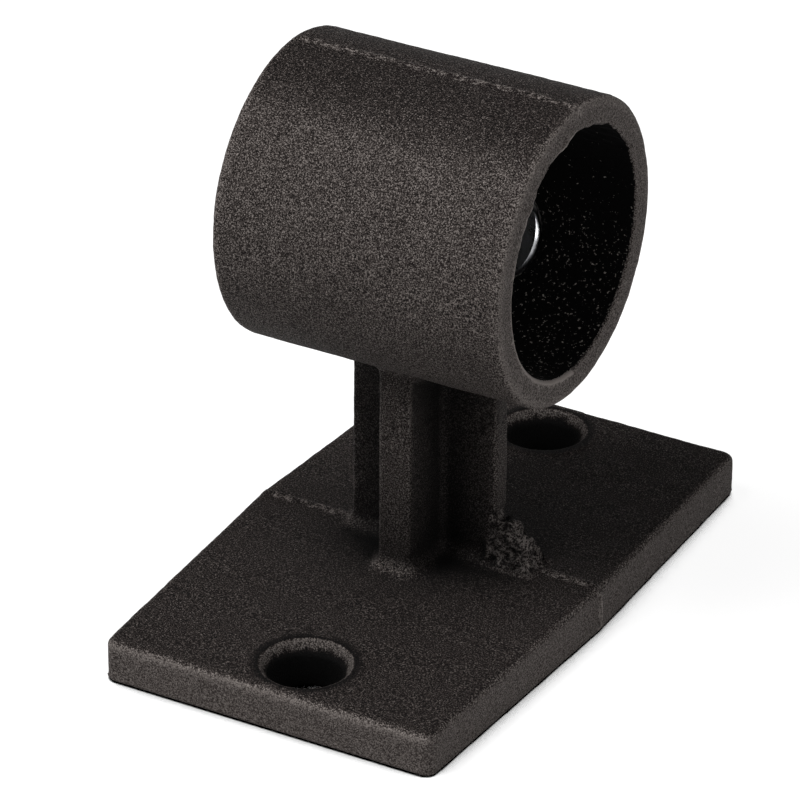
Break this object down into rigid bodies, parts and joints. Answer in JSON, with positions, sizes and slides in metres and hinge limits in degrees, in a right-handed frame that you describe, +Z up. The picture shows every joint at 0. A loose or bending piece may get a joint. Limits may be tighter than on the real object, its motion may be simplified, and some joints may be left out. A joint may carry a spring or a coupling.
{
  "type": "tube clamp base flange",
  "caption": "Cast base flange that holds a horizontal tube in a round socket, on a cross-section post above an oblong fixing plate; a grub screw clamps the tube.",
  "frame": {"origin": "middle of the base plate's flat underside", "axes": "+X along the tube's axis, +Y along the base plate towards the side with the grub screw, +Z up from the base through the post"},
  "size_m": [0.0546, 0.0896, 0.0791],
  "materials": {
    "powder_coated_casting": "matt black powder coat over a sand-cast surface, with a fine sandy grain",
    "zinc_plated_steel": "bright zinc-plated steel, lightly oiled"
  },
  "bodies": {
    "casting": {"flange_casting": "powder_coated_casting"},
    "screw": {"grub_screw": "zinc_plated_steel"}
  },
  "joints": [
    {"name": "screw_travel", "type": "slide", "parent": "casting", "child": "screw", "axis": [0, -0.866, 0.5], "range_m": [-0.00267, 0.00535]}
  ]
}
